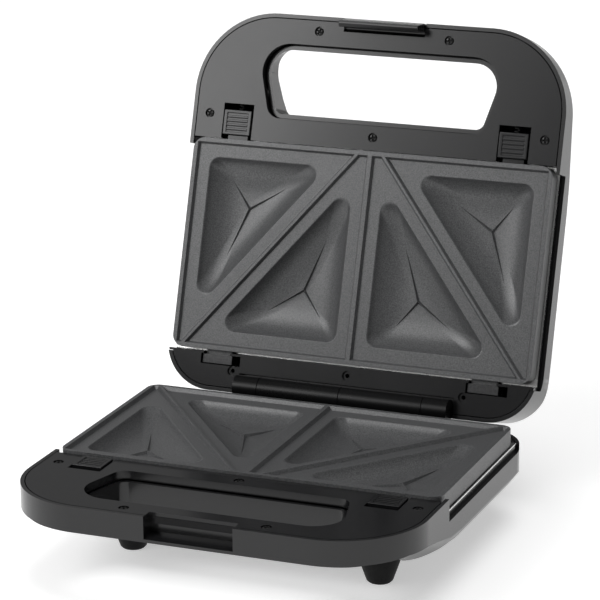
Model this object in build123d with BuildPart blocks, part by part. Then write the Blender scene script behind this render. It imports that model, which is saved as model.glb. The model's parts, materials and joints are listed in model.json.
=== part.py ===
from build123d import *
import os
from math import hypot

# A sandwich toaster, open. Millimetres, +Z up, +Y towards the hinge, +X to the right.
# The origin is on the floor under the middle of the open toaster.
# Both halves are drawn in one frame, the deck: it lies in the rim plane of the lower
# plate, with its origin at the middle of the plates' front edge and +Z out of the half.
# A lid piece is drawn there too, then mirrored over the parting plane and swung open.

# ---------------------------------------------------------------- driving dimensions
# every y is measured from the plates' front edge, every drop from the rim of its plate
rim_height = 57.0          # rim of the lower plate above the floor
plate_front = -78.4        # front edge of the plates from the origin
plate_width = 225.0
plate_depth = 126.2
closed_gap = 0.4           # between the two rims when the lid is shut
open_angle = 108.3
hinge_y = plate_depth + 20.1
hinge_drop = 2.75          # hinge axis below the lower rim

# housing halves
half_width = plate_width / 2 + 3.5
front_reach = 77.5         # from the plates' front edge to the handle's front face
rear_reach = hinge_y + 4.2
front_corner = 49.0
rear_corner = 29.0
wall = 2.3
belly_drop = 45.0          # flat bottom of a housing half below the rim plane
side_round = 28.0          # width of the rounding between side wall and bottom
lip_drop = 1.56            # handle lip and fascia below the plate rim
low_rear_drop = 11.4       # rear lip and fascia of the base, under the lid's sweep

# fascia
seam = 0.6                 # groove between housing lip and fascia
panel = 2.2
skirt = 1.6
skirt_drop = 7.0
window_gap = 0.6           # between plate and fascia
front_wall = 1.4
rear_wall_y = plate_depth + 1.3
strip_inner = plate_width / 2 + 1.6   # upright strip beside the plates
strip_outer = half_width - 0.7
strip_top = 9.8
ledge_drop = 11.0
ledge_thickness = 2.0
ledge_skirt = strip_inner - 3.2
ledge_skirt_outer = ledge_skirt + 2.0
ledge_skirt_drop = 18.0
side_rim_drop = 14.5       # low housing rim beside the plates
side_rim_start = 4.0
side_rim_end = rear_wall_y + 1.7
collar = 1.8               # ring of the fascia inside the handle opening
collar_drop = 6.3
tube_top = 6.9             # top of the housing's tube in the handle opening
tube_outer = 0.6           # insets of the tube's faces from the opening's edge
tube_inner = 3.0
tube_draft = 1.5

# handle opening
opening_front = 17.5 - front_reach
opening_rear = -15.0
opening_front_half = 79.4
opening_rear_half = 67.1
opening_front_radius = 17.0
opening_rear_radius = 8.5

# screws of the fascia
screw_front = 9.1 - front_reach
screw_side = half_width - 11.0
screw_spots = [
    (40.7, screw_front),
    (-40.7, screw_front),
    (screw_side, -15.0),
    (-screw_side, -15.0),
    (0, -8.2),
]
rear_screw_spots = [(72.6, hinge_y - 8.7), (-72.6, hinge_y - 8.7), (0, hinge_y - 13.5)]
head_radius = 2.5
head_height = 1.3
recess_radius = 2.9
recess_depth = 1.5
shank_radius = 1.25
shank_length = 8.0
boss_radius = 2.9
screw_gap = 0.05

# cooking plates
plate_corner = 7.0
plate_wall_drop = 9.8
plate_wall = 2.0
rim_width = 2.6
middle_ridge = 1.4         # half width
cell_drop = 1.5
cell_taper = 35.0
ridge_half = 0.8
skin = 2.2
basin_depth = 9.4
basin_taper = 22.0
basin_radius = 6.3
basin_round = 2.0
diagonal_start = (11.5, 6.5)
diagonal_end = (plate_width / 2 - 10.0, plate_depth - 6.7)
border = 8.3               # from a diagonal to the edge of a basin
basin_side = plate_width / 2 - 10.5
basin_front = 10.7
basin_rear = plate_depth - 11.4
basin_middle = 9.1
crease_height = 1.7
crease_half = 1.2
# a crease's middle and the ends of its arms, from the square corner of its basin
outer_crease_points = [(-25.5, 29.3), (-13.0, 12.8), (-13.5, 61.3), (-49.5, 14.3)]
inner_crease_points = [(26.9, -29.8), (15.4, -61.8), (49.9, -14.3), (13.9, -12.8)]
tongue_width = 16.0
tongue_length = 4.0
tongue_thickness = 2.0
tongue_drop = 5.4
tongue_gap = 0.5
clip_x = 83.5
clip_width = 19.0
clip_front = rear_wall_y + front_wall
clip_rear = clip_front + 5.5
clip_top = 3.4
clip_sheet = 0.8
clip_slot = 6.0            # open slot of the fascia beside a clip

# plate releases
release_x = 86.5
slot_width = 19.3
slot_end = -21.8
release_width = 17.7
release_front = -17.9
release_rear = -2.9
release_proud = 0.9
flange_reach = 2.4
flange_gap = 0.35
flange_thickness = 1.8
rail_gap = 0.35
rail_wall = 1.4
rail_floor_thickness = 1.8
nose_half = 6.5
nose_tip = 1.3
nose_top = 4.6
nose_bottom = 7.6
nose_gap = 0.5
rib_count = 4
rib_pitch = 2.5
rib_height = 0.7
rib_width = 1.2
rib_start = release_front + 4.0
thumb_border = 2.2
spring_radius = 1.8
spring_wire = 0.6
spring_turns = 5
spring_steps = 8           # sections in each turn
spring_drop = 6.6
spring_stop = -29.0
spring_stop_half = 3.5
spring_stop_thickness = 1.6

# reflector pan and heater
pan_half = plate_width / 2 - 7.9
pan_front = 7.4
pan_rear = plate_depth - 7.6
pan_middle = (pan_front + pan_rear) / 2
pan_room = 1.2             # between the pan and the ledge that carries its flange
pan_flange_half = strip_inner - 0.5
pan_flange_front = -window_gap / 2
pan_flange_rear = rear_wall_y - 0.4
sheet = 0.8
pan_floor_drop = 25.0
pan_corner = 9.0
pan_screw_spots = [(86.5, pan_middle), (-86.5, pan_middle)]
heater_radius = 3.3
heater_sides = 8
heater_drop = 18.6
heater_half = pan_half - 11.6
heater_front = pan_front + 14.6
heater_rear = pan_rear - 14.6
heater_bend = 16.0
heater_end_x = 14.0
heater_end_bend = 6.0
heater_end_drop = 31.0
heater_hole_gap = 0.8
pin_radius = 1.2
pin_length = 5.0
cradle_x = 52.0
cradle_half = 4.0
cradle_reach = 4.6

# hinge
barrel_radius = 7.0
barrel_end = 51.2
barrel_start = 0.2
ear_start = barrel_end + 0.4
ear_end = 66.8
pin_hinge_radius = 1.6
pin_hinge_start = 26.0
pin_hinge_end = ear_end - 1.2
running_gap = 0.06
seat_gap = 0.02            # a pin in the piece that holds it
notch_half = ear_end + 0.8
notch_front = hinge_y - barrel_radius - 0.9
base_tray_drop = 12.0
lid_tray_drop = 6.6
tray_thickness = 2.2
web_half = 3.6
stop_half = 45.0
stop_profile = [(-1.0, -17.5), (-1.0, -12.0), (0.2, -9.2), (3.2, -10.2), (3.2, -13.5)]

# latch
latch_half = 24.7
pocket_half = latch_half + 0.7
pocket_back = 8.2 - front_reach
pocket_drop = 10.6
pocket_wall = 2.2
latch_pivot = (5.0 - front_reach, -5.6)
latch_barrel = 2.6
latch_pin_radius = 1.2
latch_pin_half = pocket_half + 1.8
strike_edge = (6.8 - front_reach, -7.15)
strike_top = 7.7 - front_reach
undercut_back = 9.9 - front_reach
undercut_drop = 14.0
# the lever's section, from its pivot
latch_profile = [
    (-2.9, -2.3),
    (-4.6, -0.6),
    (-4.8, 5.1),
    (-1.9, 16.3),
    (-0.4, 16.5),
    (1.4, 15.3),
    (1.4, 14.0),
    (-0.6, 13.5),
    (-2.6, 5.0),
    (0, latch_barrel),
    (0, -latch_barrel),
]

# feet
foot_x = 73.5
foot_front = 12.5
foot_rear = rear_reach - 19.5
foot_spots = [(x, y) for x in (foot_x, -foot_x) for y in (foot_front, foot_rear)]
foot_top_radius = 11.2
foot_tip_radius = 7.4
foot_chamfer = 1.2
foot_stem_radius = 3.0
foot_stem_top = 33.0

# electrical parts
gland_x = 70.0
gland_drop = 27.0
gland_radius = 5.4
gland_length = 6.0
gland_flange = 7.2
gland_flange_thickness = 2.2
gland_bore = 3.6
light_x = 12.0
light_y = 26.0
light_radius = 3.6
light_flange = 1.6
light_length = 6.4
terminal_x = (24.0, 60.0)
terminal_y = (rear_wall_y - 15.5, rear_wall_y - 1.5)
terminal_top = 31.0
terminal_pitch = 12.0
terminal_bore = 2.2
sensor_y = pan_middle - 3.0
sensor_radius = 8.2
sensor_height = 7.5
sensor_bracket = 13.0
fuse_x = 38.0
fuse_radius = 2.4

os.makedirs("parts", exist_ok=True)
deck = Plane((0, plate_front, rim_height))
parting = deck.offset(closed_gap / 2)
deep = 60.0                # cuts and posts run this far below the deck
clear = 5.0                # and this far above or beside the piece
hinge_axis = Axis((0, plate_front + hinge_y, rim_height - hinge_drop), (1, 0, 0))


def cross_plane(y):
    """A plane across the toaster at y on the deck: x to the right, y up."""
    return Plane((0, plate_front + y, rim_height), x_dir=(1, 0, 0), z_dir=(0, -1, 0))


def side_plane(x):
    """A plane along the toaster at x: its x runs to the hinge, its y up."""
    return Plane((x, plate_front, rim_height), x_dir=(0, 1, 0), z_dir=(1, 0, 0))


def opened(piece):
    """A lid piece, drawn on the deck, mirrored to the lid and swung open."""
    return piece.mirror(parting).rotate(hinge_axis, -open_angle)


def block(x_span, y_span, z_span, mode=Mode.ADD):
    """Add or cut a rectangular rib between two x, two y and two z of the deck."""
    with BuildSketch(deck.offset(z_span[0])) as plan:
        with Locations(((x_span[0] + x_span[1]) / 2, (y_span[0] + y_span[1]) / 2)):
            Rectangle(x_span[1] - x_span[0], y_span[1] - y_span[0])
    extrude(plan.sketch, amount=z_span[1] - z_span[0], mode=mode)


def both_sides(x_span, y_span, z_span, mode=Mode.ADD):
    """The same rib on the right and on the left."""
    block(x_span, y_span, z_span, mode)
    block((-x_span[1], -x_span[0]), y_span, z_span, mode)


def post(spot, radius, z_span, mode=Mode.ADD):
    """Add or cut an upright cylinder."""
    with BuildSketch(deck.offset(z_span[0])) as plan:
        with Locations(spot):
            Circle(radius)
    extrude(plan.sketch, amount=z_span[1] - z_span[0], mode=mode)


def bar(y, z, radius, x_span, mode=Mode.ADD):
    """Add or cut a cylinder that lies across the toaster."""
    with BuildSketch(side_plane(x_span[0])) as profile:
        with Locations((y, z)):
            Circle(radius)
    extrude(profile.sketch, amount=x_span[1] - x_span[0], mode=mode)


def rib(points, x_span, mode=Mode.ADD):
    """Add or cut a prism across the toaster with a profile in y and z."""
    with BuildSketch(side_plane(x_span[0])) as profile:
        with BuildLine():
            Polyline(*points, close=True)
        make_face()
    extrude(profile.sketch, amount=x_span[1] - x_span[0], mode=mode)


def outline(inset, drop):
    """The plan of a housing half, inset from its outer face."""
    with BuildSketch(deck.offset(-drop)) as plan:
        with Locations((0, (rear_reach - front_reach) / 2)):
            Rectangle(2 * (half_width - inset), front_reach + rear_reach - 2 * inset)
        fillet(plan.vertices().group_by(Axis.Y)[0], front_corner - inset)
        fillet(plan.vertices().group_by(Axis.Y)[-1], rear_corner - inset)
    return plan.sketch


def opening(inset, drop):
    """The finger opening of the handle, inset from the edge of the fascia."""
    with BuildSketch(deck.offset(-drop)) as hole:
        with BuildLine():
            Polyline(
                (-opening_front_half, opening_front),
                (opening_front_half, opening_front),
                (opening_rear_half, opening_rear),
                (-opening_rear_half, opening_rear),
                close=True,
            )
        make_face()
        fillet(hole.vertices().group_by(Axis.Y)[0], opening_front_radius)
        fillet(hole.vertices().group_by(Axis.Y)[-1], opening_rear_radius)
        if inset:
            offset(amount=-inset, mode=Mode.REPLACE)
    return hole.sketch


# ---------------------------------------------------------------- form of a housing half
# stations along the underside: y, depth of the side wall, depth of the middle
stations = [
    (-front_reach - 14, 11.6, 15.6),
    (-68, 12.6, 16.2),
    (-48, 14.8, 18.6),
    (-28, 19.4, 24.0),
    (-9, 23.4, 33.5),
    (8, 25.8, 42.0),
    (26, 27.0, belly_drop - 0.4),
    (60, 28.0, belly_drop),
    (112, 28.0, belly_drop),
    (136, 28.0, belly_drop - 2.6),
    (rear_reach + 8, 28.0, belly_drop - 14),
]
edge_overrun = 0.5         # the sections run past the walls by this much
quarter = 0.5523           # handle of a quarter ellipse drawn as a cubic curve


def belly_section(station, inset):
    """One cross section of a housing half: straight sides and a rounded, flat bottom."""
    y, side_depth, middle_depth = station
    reach = half_width + edge_overrun - inset
    flat = reach - side_round
    low = inset - middle_depth
    turn = quarter * side_round
    side = -side_depth
    bend = side + quarter * (low - side)
    with BuildSketch(cross_plane(y)) as section:
        with BuildLine():
            Line((-reach, 10), (-reach, side))
            Bezier((-reach, side), (-reach, bend), (-reach + side_round - turn, low), (-flat, low))
            Line((-flat, low), (flat, low))
            Bezier((flat, low), (reach - side_round + turn, low), (reach, bend), (reach, side))
            Line((reach, side), (reach, 10))
            Line((reach, 10), (-reach, 10))
        make_face()
    return section.sketch


def half_form(inset):
    """The solid form of a housing half, with its top on the lip plane."""
    sections = [belly_section(station, inset) for station in stations]
    with BuildPart() as form:
        loft(sections, ruled=True)
        extrude(outline(inset, lip_drop), amount=-deep, mode=Mode.INTERSECT)
    return form.part


outer_form = half_form(0)
middle_form = half_form(wall / 2)
inner_form = half_form(wall)


def housing_frame(rear_drop):
    """Posts and handle tube of a housing half, which end inside its wall."""
    with BuildPart() as frame:
        extrude(opening(tube_outer, tube_top), amount=-deep)
        for spot in screw_spots:
            post(spot, boss_radius, (-deep, -lip_drop - panel))
        for spot in rear_screw_spots:
            post(spot, boss_radius, (-deep, -rear_drop - panel))
        for spot in pan_screw_spots:
            post(spot, boss_radius, (-deep, -pan_floor_drop - sheet))
        add(middle_form, mode=Mode.INTERSECT)
    return frame.part


def trim_housing(rear_drop):
    """Cut the openings and screw holes that both housing halves have."""
    extrude(opening(tube_inner, 0), amount=-deep, taper=tube_draft, mode=Mode.SUBTRACT)
    hole = shank_radius + screw_gap
    length = recess_depth + shank_length + 1
    for spot in screw_spots:
        post(spot, hole, (-lip_drop - length, 0), Mode.SUBTRACT)
    for spot in rear_screw_spots:
        post(spot, hole, (-rear_drop - length, 0), Mode.SUBTRACT)
    for spot in pan_screw_spots:
        post(spot, hole, (-pan_floor_drop - shank_length - 1, 0), Mode.SUBTRACT)
    across = (-half_width - clear, half_width + clear)
    block(across, (side_rim_start, side_rim_end), (-side_rim_drop, clear), Mode.SUBTRACT)
    block(across, (side_rim_end - 1, rear_reach + clear), (-rear_drop, clear), Mode.SUBTRACT)


# ---------------------------------------------------------------- base housing
base_frame = housing_frame(low_rear_drop)

with BuildPart() as base_shell:
    add(outer_form)
    add(inner_form, mode=Mode.SUBTRACT)
    add(base_frame)
    trim_housing(low_rear_drop)
    # floor of the hinge bay and the two outer ears
    block(
        (-notch_half + 0.4, notch_half - 0.4),
        (notch_front + 0.4, rear_reach - 1),
        (-base_tray_drop - tray_thickness, -base_tray_drop),
    )
    for x_span in ((ear_start, ear_end), (-ear_end, -ear_start)):
        block(x_span, (hinge_y - web_half, rear_reach), (-base_tray_drop - 1, -hinge_drop))
        bar(hinge_y, -hinge_drop, barrel_radius, x_span)
        bar(hinge_y, -hinge_drop, pin_hinge_radius + seat_gap, x_span, Mode.SUBTRACT)
    # ledge behind the rear wall that the open lid comes to rest on
    rib([(rear_reach + y, z) for y, z in stop_profile], (-stop_half, stop_half))
    # strike for the latch: a pocket in the front wall with an edge the hook goes under
    rib(
        [
            (-front_reach + 1, -12.0),
            (-front_reach + 1, -lip_drop - panel),
            (undercut_back + 2, -lip_drop - panel),
            (undercut_back + 2, -undercut_drop - 1),
            (-front_reach + 4, -undercut_drop - 1),
        ],
        (-pocket_half - 2, pocket_half + 2),
    )
    rib(
        [
            (-front_reach - 3, 2),
            (strike_top, 2),
            (strike_top, -lip_drop - panel),
            strike_edge,
            (undercut_back, strike_edge[1] - 0.5),
            (undercut_back, -undercut_drop + 1.2),
            (-front_reach - 3, -undercut_drop - 0.6),
        ],
        (-pocket_half, pocket_half),
        Mode.SUBTRACT,
    )
    # holes for the feet and the cord bush
    for spot in foot_spots:
        post(spot, foot_stem_radius + screw_gap, (-deep, -foot_stem_top), Mode.SUBTRACT)
    with BuildSketch(cross_plane(rear_reach - 6)):
        with Locations((gland_x, -gland_drop)):
            Circle(gland_radius + seat_gap)
    extrude(amount=-2 * gland_length, mode=Mode.SUBTRACT)
base_shell.part.label = "base_shell"
export_step(base_shell.part, "parts/base_shell.step")


# ---------------------------------------------------------------- lid housing
lid_frame = housing_frame(lip_drop)
hinge_rise = closed_gap + hinge_drop

with BuildPart() as lid_deck_shell:
    add(outer_form)
    add(inner_form, mode=Mode.SUBTRACT)
    add(lid_frame)
    trim_housing(lip_drop)
    # hinge bay: the rear wall is notched for the ears and carries the two barrels
    bay = (-notch_half, notch_half)
    block(bay, (notch_front, rear_reach + clear), (-lid_tray_drop, clear), Mode.SUBTRACT)
    block(
        bay,
        (notch_front + 0.4, rear_reach - 1),
        (-lid_tray_drop - tray_thickness, -lid_tray_drop),
    )
    for x_span in ((barrel_start, barrel_end), (-barrel_end, -barrel_start)):
        block(x_span, (hinge_y - web_half, rear_reach), (-lid_tray_drop - 1, hinge_rise))
        bar(hinge_y, hinge_rise, barrel_radius, x_span)
    for x_span in ((pin_hinge_start - 0.4, barrel_end), (-barrel_end, 0.4 - pin_hinge_start)):
        bar(hinge_y, hinge_rise, pin_hinge_radius + running_gap, x_span, Mode.SUBTRACT)
    # pocket for the latch lever in the front wall
    rib(
        [
            (-front_reach + 1, -lip_drop - panel),
            (pocket_back + pocket_wall, -lip_drop - panel),
            (pocket_back + pocket_wall, -pocket_drop - pocket_wall),
            (-front_reach + 5, -pocket_drop - pocket_wall),
            (-front_reach + 1, -pocket_drop),
        ],
        (-latch_pin_half - 1.4, latch_pin_half + 1.4),
    )
    pocket = (-pocket_half, pocket_half)
    block(pocket, (-front_reach - 3, pocket_back), (-pocket_drop, clear), Mode.SUBTRACT)
    pin_span = (-latch_pin_half, latch_pin_half)
    bar(*latch_pivot, latch_pin_radius + seat_gap, pin_span, Mode.SUBTRACT)
    # holes for the two lights
    for x in (-light_x, light_x):
        post((x, light_y), light_radius + screw_gap, (-deep, -belly_drop + 10), Mode.SUBTRACT)
lid_shell = opened(lid_deck_shell.part)
lid_shell.label = "lid_shell"
export_step(lid_shell, "parts/lid_shell.step")


# ---------------------------------------------------------------- fascias
def fascia(rear_drop):
    """The black frame round a plate, with the upper face of the handle."""
    across = (-half_width - clear, half_width + clear)
    cut = (-deep, clear)
    inside = half_width - wall - seam
    ledge = (-ledge_drop - ledge_thickness, -ledge_drop)
    rear_wall = (rear_wall_y, rear_wall_y + front_wall)
    underside = -lip_drop - panel
    with BuildPart() as rear:
        extrude(outline(wall + seam, rear_drop), amount=-panel)
        block(across, (-front_reach, rear_wall_y), cut, Mode.SUBTRACT)
        bay = (-notch_half, notch_half)
        block(bay, (notch_front, rear_reach + clear), cut, Mode.SUBTRACT)
    with BuildPart() as face:
        # front panel with its edge turned down, and a collar in the finger opening
        extrude(outline(wall + seam, lip_drop), amount=lip_drop - skirt_drop)
        extrude(outline(wall + seam + skirt, -underside), amount=-deep, mode=Mode.SUBTRACT)
        extrude(opening(-collar, lip_drop), amount=lip_drop - collar_drop)
        extrude(opening(0, 0), amount=-deep, mode=Mode.SUBTRACT)
        block(across, (-window_gap, rear_reach), cut, Mode.SUBTRACT)
        # wall and ledge under the front edge of the plate
        front = -window_gap - front_wall
        block((-inside, inside), (front, -window_gap), (ledge[0], -lip_drop))
        block((-inside, inside), (front, pan_front - pan_room), ledge)
        # upright strips and ledges beside the plate and behind it
        along = (side_rim_start + 0.2, rear_wall[1])
        strip_foot = 0.1 - side_rim_drop
        both_sides((strip_inner, strip_outer), along, (strip_foot, -strip_top))
        both_sides((pan_half + pan_room, strip_outer), along, ledge)
        both_sides((ledge_skirt, strip_outer), along, (strip_foot, ledge[1] - 1))
        both_sides(
            (ledge_skirt, ledge_skirt_outer),
            (side_rim_start + 2, rear_wall_y - 6),
            (-ledge_skirt_drop, ledge[1] - 1),
        )
        block((-strip_outer, strip_outer), (pan_rear + pan_room, rear_wall[1]), ledge)
        rear_top = -min(strip_top, rear_drop)
        block((-strip_outer, strip_outer), rear_wall, (strip_foot, rear_top))
        add(rear.part)
        # shelves that the plate clips stand on
        shelf_half = clip_width / 2 + 0.5
        both_sides(
            (clip_x - shelf_half, clip_x + shelf_half),
            (rear_wall_y, clip_rear + 0.1),
            (-low_rear_drop - 2, -low_rear_drop),
        )
        # slide rails, spring stops and slots of the releases
        flange = release_width / 2 + flange_reach + rail_gap
        rail_floor = underside - 2 * flange_gap - flange_thickness
        for side in (-1, 1):
            middle = side * release_x
            slot = (middle - slot_width / 2, middle + slot_width / 2)
            channel = (middle - flange, middle + flange)
            rails = (channel[0] - rail_wall, channel[1] + rail_wall)
            rail_rear = -2 * window_gap
            block(
                rails,
                (slot_end - rail_wall, -window_gap),
                (rail_floor - rail_floor_thickness, underside),
            )
            block(channel, (slot_end, rail_rear), (rail_floor, underside), Mode.SUBTRACT)
            block(slot, (slot_end, 0), (-ledge_drop, clear), Mode.SUBTRACT)
            block(slot, (slot_end - 3, slot_end + 1), (-ledge_drop, underside), Mode.SUBTRACT)
            block(
                (middle - spring_stop_half, middle + spring_stop_half),
                (spring_stop - spring_stop_thickness, spring_stop),
                (-spring_drop - 2.6, underside),
            )
        # room for the front pocket of the housing
        block(
            (-latch_pin_half - 1.7, latch_pin_half + 1.7),
            (-front_reach, undercut_back + 2.3),
            (-deep, underside),
            Mode.SUBTRACT,
        )
        block((-pocket_half, pocket_half), (-front_reach, pocket_back), cut, Mode.SUBTRACT)
        # windows behind the plate for its tongues, and the open slot beside each clip
        window_half = tongue_width / 2 + tongue_gap
        for middle in (-clip_x, clip_x):
            block(
                (middle - window_half, middle + window_half),
                (rear_wall_y - 1, clip_front),
                (-tongue_drop - tongue_thickness - tongue_gap, clear),
                Mode.SUBTRACT,
            )
            clip_side = middle + clip_width / 2
            bed = (clip_front - 0.1, clip_rear + tongue_gap)
            block(
                (clip_side - clip_width - 0.4, clip_side + clip_slot),
                bed,
                (-low_rear_drop, clear),
                Mode.SUBTRACT,
            )
            block((clip_side + 0.6, clip_side + clip_slot), bed, cut, Mode.SUBTRACT)
        # recessed screw holes
        for spots, top in ((screw_spots, -lip_drop), (rear_screw_spots, -rear_drop)):
            for spot in spots:
                post(spot, recess_radius, (top - recess_depth, clear), Mode.SUBTRACT)
                post(spot, shank_radius + screw_gap, (top - 2 * panel, top), Mode.SUBTRACT)
        extrude(outline(half_width - strip_outer, 0), amount=-deep, mode=Mode.INTERSECT)
    return face.part


base_bezel = fascia(low_rear_drop)
base_bezel.label = "base_bezel"
export_step(base_bezel, "parts/base_bezel.step")

lid_bezel = opened(fascia(lip_drop))
lid_bezel.label = "lid_bezel"
export_step(lid_bezel, "parts/lid_bezel.step")


def screws(rear_drop):
    """Screws of a fascia, standing in their recesses."""
    with BuildPart() as group:
        for spots, top in ((screw_spots, -lip_drop), (rear_screw_spots, -rear_drop)):
            for spot in spots:
                seat = top - recess_depth
                post(spot, head_radius, (seat, seat + head_height))
                post(spot, shank_radius, (seat - shank_length, seat))
    return group.part


base_bezel_screws = screws(low_rear_drop)
base_bezel_screws.label = "base_bezel_screws"
export_step(base_bezel_screws, "parts/base_bezel_screws.step")

lid_bezel_screws = opened(screws(lip_drop))
lid_bezel_screws.label = "lid_bezel_screws"
export_step(lid_bezel_screws, "parts/lid_bezel_screws.step")

# ---------------------------------------------------------------- cooking plates
run_x = diagonal_end[0] - diagonal_start[0]
run_y = diagonal_end[1] - diagonal_start[1]
run = hypot(run_x, run_y)
rise = run_y / run_x


def beside_diagonal(distance, x=None, y=None):
    """The point at x, or at y, on the line this far to the right of a diagonal."""
    start_x = diagonal_start[0] + distance * run_y / run
    start_y = diagonal_start[1] - distance * run_x / run
    if y is None:
        return (x, start_y + (x - start_x) * rise)
    return (start_x + (y - start_y) / rise, y)


cell_front = rim_width
cell_rear = plate_depth - rim_width
cell_side = plate_width / 2 - rim_width
outer_cell = [
    beside_diagonal(ridge_half, y=cell_front),
    (cell_side, cell_front),
    (cell_side, cell_rear),
    beside_diagonal(ridge_half, y=cell_rear),
]
inner_cell = [
    (middle_ridge, cell_front),
    beside_diagonal(-ridge_half, y=cell_front),
    beside_diagonal(-ridge_half, y=cell_rear),
    (middle_ridge, cell_rear),
]
outer_basin = [
    beside_diagonal(border, y=basin_front),
    (basin_side, basin_front),
    beside_diagonal(border, x=basin_side),
]
inner_basin = [
    beside_diagonal(-border, x=basin_middle),
    beside_diagonal(-border, y=basin_rear),
    (basin_middle, basin_rear),
]
outer_crease = [(basin_side + x, basin_front + y) for x, y in outer_crease_points]
inner_crease = [(basin_middle + x, basin_rear + y) for x, y in inner_crease_points]


def basin(corners, grow, depth, floor_round):
    """A triangular pocket with rounded corners and sloping walls."""
    with BuildPart() as pocket:
        with BuildSketch(deck.offset(-cell_drop)) as mouth:
            with BuildLine():
                Polyline(*corners, close=True)
            make_face()
            fillet(mouth.vertices(), basin_radius)
            if grow:
                offset(amount=grow, mode=Mode.REPLACE)
        extrude(amount=-depth, taper=basin_taper)
        if floor_round:
            fillet(pocket.faces().sort_by(Axis.Z)[0].edges(), floor_round)
    return pocket.part


def crease(points):
    """A three-armed ridge on the floor of a basin, highest in the middle."""
    middle, *tips = points
    corners = []
    for number, tip in enumerate(tips):
        after = tips[(number + 1) % 3]
        corners.append(tip)
        lean_x = (tip[0] - middle[0]) + (after[0] - middle[0])
        lean_y = (tip[1] - middle[1]) + (after[1] - middle[1])
        lean = hypot(lean_x, lean_y) or 1
        corners.append(
            (middle[0] + crease_half * lean_x / lean, middle[1] + crease_half * lean_y / lean)
        )
    floor = -cell_drop - basin_depth - 0.2
    with BuildPart() as ridge:
        with BuildSketch(deck.offset(floor)) as star:
            with BuildLine():
                Polyline(*corners, close=True)
            make_face()
        top = Vertex(middle[0], plate_front + middle[1], rim_height + floor + crease_height)
        loft(sections=[star.sketch, top])
    return ridge.part


def mirrored(piece):
    """The same piece on the left."""
    return piece.mirror(Plane.YZ)


basin_skins = []
basins = []
creases = []
for corners, points in ((outer_basin, outer_crease), (inner_basin, inner_crease)):
    pocket_skin = basin(corners, skin, basin_depth + skin, 0)
    pocket_room = basin(corners, 0, basin_depth, basin_round)
    pocket_crease = crease(points)
    basin_skins.extend([pocket_skin, mirrored(pocket_skin)])
    basins.extend([pocket_room, mirrored(pocket_room)])
    creases.extend([pocket_crease, mirrored(pocket_crease)])

with BuildPart() as plate:
    with BuildSketch(deck):
        with Locations((0, plate_depth / 2)):
            RectangleRounded(plate_width, plate_depth, plate_corner)
    extrude(amount=-plate_wall_drop)
    with BuildSketch(deck.offset(-cell_drop - skin)):
        with Locations((0, plate_depth / 2)):
            RectangleRounded(
                plate_width - 2 * plate_wall,
                plate_depth - 2 * plate_wall,
                plate_corner - plate_wall,
            )
    extrude(amount=-deep, mode=Mode.SUBTRACT)
    add(basin_skins)
    with BuildSketch(deck) as cells:
        for corners in (outer_cell, inner_cell):
            with BuildLine():
                Polyline(*corners, close=True)
            make_face()
        mirror(about=Plane.YZ)
    extrude(amount=-cell_drop, taper=cell_taper, mode=Mode.SUBTRACT)
    add(basins, mode=Mode.SUBTRACT)
    add(creases)
    # slots for the noses of the releases, and the tongues for the rear clips
    for middle in (-release_x, release_x):
        block(
            (middle - nose_half - nose_gap, middle + nose_half + nose_gap),
            (-1, plate_wall + 1),
            (-nose_bottom - nose_gap, -nose_top + nose_gap),
            Mode.SUBTRACT,
        )
    for middle in (-clip_x, clip_x):
        block(
            (middle - tongue_width / 2, middle + tongue_width / 2),
            (plate_depth - 1, plate_depth + tongue_length),
            (-tongue_drop - tongue_thickness, -tongue_drop),
        )
plate.part.label = "lower_plate"
export_step(plate.part, "parts/lower_plate.step")

upper_plate = opened(plate.part)
upper_plate.label = "upper_plate"
export_step(upper_plate, "parts/upper_plate.step")

# ---------------------------------------------------------------- plate clips
with BuildPart() as clips:
    for middle in (-clip_x, clip_x):
        span = (middle - clip_width / 2, middle + clip_width / 2)
        block(span, (clip_front, clip_rear), (-low_rear_drop, -clip_top))
        block(
            span,
            (clip_front + clip_sheet, clip_rear - clip_sheet),
            (-low_rear_drop - 1, -clip_top - clip_sheet),
            Mode.SUBTRACT,
        )
        block(
            (middle - tongue_width / 2 - tongue_gap, middle + tongue_width / 2 + tongue_gap),
            (clip_front - 1, clip_front + clip_sheet + 0.5),
            (-tongue_drop - tongue_thickness - tongue_gap, -tongue_drop + tongue_gap),
            Mode.SUBTRACT,
        )
clips.part.label = "base_plate_clips"
export_step(clips.part, "parts/base_plate_clips.step")

lid_plate_clips = opened(clips.part)
lid_plate_clips.label = "lid_plate_clips"
export_step(lid_plate_clips, "parts/lid_plate_clips.step")


# ---------------------------------------------------------------- releases and springs
def release(side):
    """A sliding catch: ribbed thumb piece, flange under the fascia and a nose."""
    middle = side * release_x
    half = release_width / 2
    top = -lip_drop + release_proud
    flange_top = -lip_drop - panel - flange_gap
    with BuildPart() as catch:
        block(
            (middle - half, middle + half),
            (release_front, release_rear),
            (flange_top - flange_thickness, top),
        )
        fillet(catch.edges().group_by(Axis.Z)[-1], 0.5)
        block(
            (middle - half - flange_reach, middle + half + flange_reach),
            (release_front, release_rear),
            (flange_top - flange_thickness, flange_top),
        )
        block(
            (middle - nose_half, middle + nose_half),
            (release_front, nose_tip),
            (-nose_bottom, -nose_top),
        )
        block(
            (middle - nose_half, middle + nose_half),
            (release_front, release_rear - 4),
            (-spring_drop - spring_radius, -nose_top),
        )
        # sunken field with the finger ribs
        block(
            (middle - half + thumb_border, middle + half - thumb_border),
            (release_front + 1.8, release_rear - 1.6),
            (top - rib_height, top + 1),
            Mode.SUBTRACT,
        )
        for number in range(rib_count):
            y = rib_start + number * rib_pitch
            block(
                (middle - half + thumb_border, middle + half - thumb_border),
                (y - rib_width / 2, y + rib_width / 2),
                (top - rib_height, top - 0.1),
            )
    return catch.part


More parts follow.
